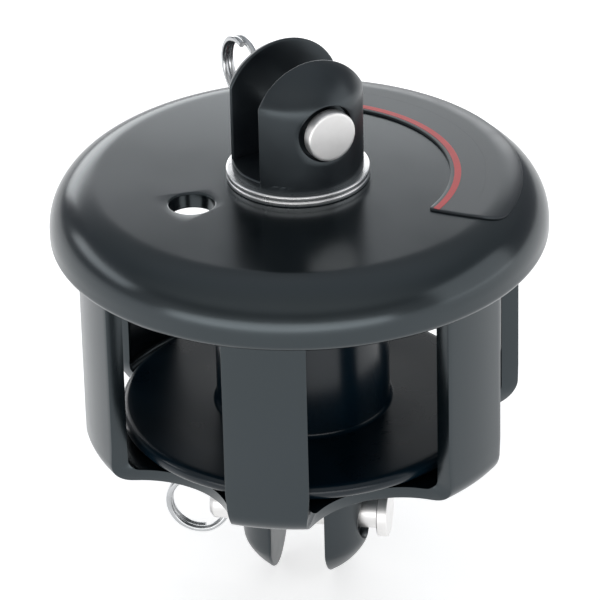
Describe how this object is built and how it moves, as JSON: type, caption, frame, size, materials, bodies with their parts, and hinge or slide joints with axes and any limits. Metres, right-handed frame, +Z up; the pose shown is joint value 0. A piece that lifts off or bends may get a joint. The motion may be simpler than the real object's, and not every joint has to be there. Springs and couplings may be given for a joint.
{
  "type": "roller furler drum",
  "caption": "Roller furler drum: a dished cap and hub turn on ball bearings inside a fixed finger guard, with a clevis and pin at each end and a hole for the furling line.",
  "frame": {"origin": "centre of the lower clevis pin's hole, on the spin axis", "axes": "+Z up the spin axis to the upper clevis, +X along the lower clevis pin towards its head"},
  "size_m": [0.089, 0.089, 0.105],
  "materials": {
    "black_anodised": "satin black anodised",
    "moulded_black": "satin moulded",
    "polished_black": "gloss",
    "stainless": "satin stainless",
    "bearing_steel": "ground",
    "nylon": "moulded nylon",
    "seal_rubber": "matt",
    "label": "satin"
  },
  "bodies": {
    "stator": {"lower_clevis": "black_anodised", "line_guard": "moulded_black", "guard_washer": "stainless", "guard_nut": "stainless", "lower_inner_race": "bearing_steel", "inner_spacer": "bearing_steel", "upper_inner_race": "bearing_steel", "stem_washer": "stainless", "stem_nut": "stainless"},
    "drum": {"spool": "polished_black", "bearing_retainer": "bearing_steel", "stem_seal": "seal_rubber", "lower_outer_race": "bearing_steel", "outer_spacer": "bearing_steel", "upper_outer_race": "bearing_steel", "top_spacer": "bearing_steel", "cap": "moulded_black", "cap_dowels": "stainless", "label_band": "label", "lower_clevis_washer": "stainless", "upper_clevis_washer": "stainless", "upper_clevis": "black_anodised", "shank_washer": "stainless", "shank_nut": "stainless"},
    "lower_ball_row": {"lower_balls": "bearing_steel", "lower_ball_cage": "nylon"},
    "upper_ball_row": {"upper_balls": "bearing_steel", "upper_ball_cage": "nylon"},
    "upper_pin_body": {"upper_pin": "stainless"},
    "upper_ring_body": {"upper_ring": "stainless"},
    "lower_pin_body": {"lower_pin": "stainless"},
    "lower_ring_body": {"lower_ring": "stainless"}
  },
  "joints": [
    {"name": "drum_spin", "type": "hinge", "parent": "stator", "child": "drum", "pos_m": [0, 0, 0.04], "axis": [0, 0, 1], "continuous": true},
    {"name": "lower_balls_roll", "type": "hinge", "parent": "stator", "child": "lower_ball_row", "pos_m": [0, 0, 0.033], "axis": [0, 0, 1], "continuous": true},
    {"name": "upper_balls_roll", "type": "hinge", "parent": "stator", "child": "upper_ball_row", "pos_m": [0, 0, 0.045], "axis": [0, 0, 1], "continuous": true},
    {"name": "upper_pin_slide", "type": "slide", "parent": "drum", "child": "upper_pin_body", "axis": [0.6157, -0.788, 0], "range_m": [-0.0014, 0.0016]},
    {"name": "upper_ring_swing", "type": "hinge", "parent": "upper_pin_body", "child": "upper_ring_body", "pos_m": [-0.00874, 0.01119, 0.0818], "axis": [0, 0, 1], "range_deg": [-60, 60]},
    {"name": "lower_pin_slide", "type": "slide", "parent": "stator", "child": "lower_pin_body", "axis": [1, 0, 0], "range_m": [-0.004, 0.0021]},
    {"name": "lower_ring_swing", "type": "hinge", "parent": "lower_pin_body", "child": "lower_ring_body", "pos_m": [-0.0147, 0, 0], "axis": [0, 0, 1], "range_deg": [-60, 60]}
  ],
  "couplings": [
    {"joint": "lower_balls_roll", "follows": "drum_spin", "ratio": 0.5808},
    {"joint": "upper_balls_roll", "follows": "drum_spin", "ratio": 0.5808}
  ]
}
